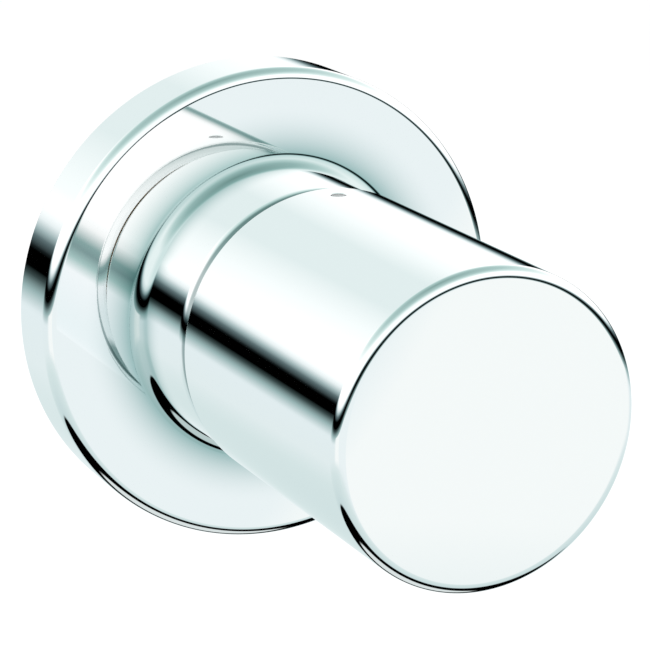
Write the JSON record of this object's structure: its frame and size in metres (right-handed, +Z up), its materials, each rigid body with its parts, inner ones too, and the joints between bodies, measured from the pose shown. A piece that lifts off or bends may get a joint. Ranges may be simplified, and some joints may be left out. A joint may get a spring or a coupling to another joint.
{
  "type": "concealed valve trim",
  "caption": "Round chrome wall trim for a concealed shower valve: an escutcheon with a coved neck, and a cylindrical handle that turns a splined extension of the valve's spindle.",
  "frame": {"origin": "on the valve's axis, in the plane of the finished wall", "axes": "+Y points into the wall along the valve's axis, so the handle points along -Y; +Z is up, and the screw's access hole is on top"},
  "size_m": [0.066, 0.07, 0.066],
  "materials": {
    "trim_chrome": "polished chrome plate",
    "brass": "turned, uncoated",
    "steel": "stainless, plain",
    "black_rubber": "moulded, greased",
    "grey_foam": "closed-cell foam",
    "white_plastic": "moulded acetal",
    "grey_plastic": "moulded"
  },
  "bodies": {
    "escutcheon_set": {"escutcheon": "trim_chrome", "wall_seal": "grey_foam", "fixing_sleeve": "brass", "sleeve_o_ring_rear": "black_rubber", "sleeve_o_ring_front": "black_rubber", "neck_o_ring": "black_rubber", "guide_bush": "white_plastic"},
    "handle_set": {"spindle_extension": "brass", "thrust_washer": "white_plastic", "extension_o_ring": "black_rubber", "wave_washer": "steel", "extension_circlip": "steel", "extension_screw": "steel", "spring_washer": "steel", "handle_shell": "trim_chrome", "handle_insert": "brass", "spline_adapter": "white_plastic", "grub_screw": "steel", "screw_hole_plug": "grey_plastic", "glide_ring": "white_plastic"}
  },
  "joints": [
    {"name": "handle_turn", "type": "hinge", "parent": "escutcheon_set", "child": "handle_set", "pos_m": [0, -0.02, 0], "axis": [0, -1, 0], "range_deg": [0, 90]}
  ]
}
